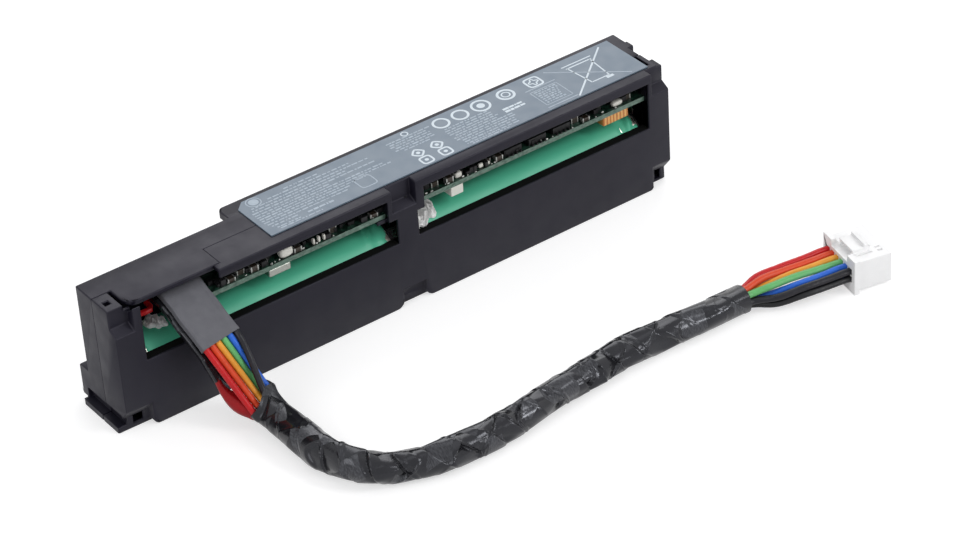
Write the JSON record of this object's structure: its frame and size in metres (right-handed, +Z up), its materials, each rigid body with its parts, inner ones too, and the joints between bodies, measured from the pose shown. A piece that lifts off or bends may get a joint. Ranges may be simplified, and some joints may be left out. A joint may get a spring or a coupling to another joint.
{
  "type": "raid battery module",
  "caption": "Flat black clamshell battery case with cells and a gauge board behind front windows, a labelled cover and a taped cable ending in a white connector.",
  "frame": {"origin": "middle of the case's footprint, the foot's lip and the cover's overhang included, on the surface that the case stands on", "axes": "+X along the case from the cable end to the far end, +Y from the windowed front face to the rear rail, +Z up through the label"},
  "size_m": [0.1673, 0.085, 0.0324],
  "materials": {
    "case": "satin",
    "label": "satin",
    "metal": "satin",
    "cell_sleeve": "gloss",
    "black_part": "satin",
    "glue": "satin",
    "board": "satin",
    "capacitor": "satin",
    "white_part": "satin",
    "amber": "gloss",
    "foam": "matte",
    "tape": "gloss",
    "cloth_tape": "matte",
    "wire_dark_red": "gloss",
    "wire_red": "gloss",
    "wire_orange": "gloss",
    "wire_yellow": "gloss",
    "wire_green": "gloss",
    "wire_blue": "gloss",
    "wire_black": "gloss",
    "connector": "satin"
  },
  "bodies": {
    "root": {"front_shell": "case", "back_shell": "case", "label": "label", "cell_can_left": "metal", "cell_can_right": "metal", "cell_sleeve_left": "cell_sleeve", "cell_sleeve_right": "cell_sleeve", "cell_washer_left": "black_part", "cell_washer_right": "black_part", "nickel_link": "metal", "nickel_tab_left": "metal", "nickel_tab_right": "metal", "glue_left": "glue", "glue_middle": "glue", "circuit_board": "board", "controller_chip": "black_part", "gauge_chip": "black_part", "power_switches": "black_part", "choke": "black_part", "chip_capacitors": "capacitor", "chip_resistors": "black_part", "white_top_parts": "white_part", "metal_fuse": "metal", "white_block": "white_part", "amber_capacitor": "amber", "potting_block": "black_part", "foam_pad": "foam", "gasket_left": "foam", "gasket_right": "foam", "sense_wire": "wire_dark_red", "tape_wrap": "cloth_tape", "tape_strip": "tape", "wire_dark_red": "wire_dark_red", "wire_red": "wire_red", "wire_orange": "wire_orange", "wire_yellow": "wire_yellow", "wire_green": "wire_green", "wire_blue": "wire_blue", "wire_black": "wire_black", "wire_black_low": "wire_black", "cable_sleeve": "tape", "connector_housing": "connector", "connector_contacts": "metal"}
  },
  "joints": []
}
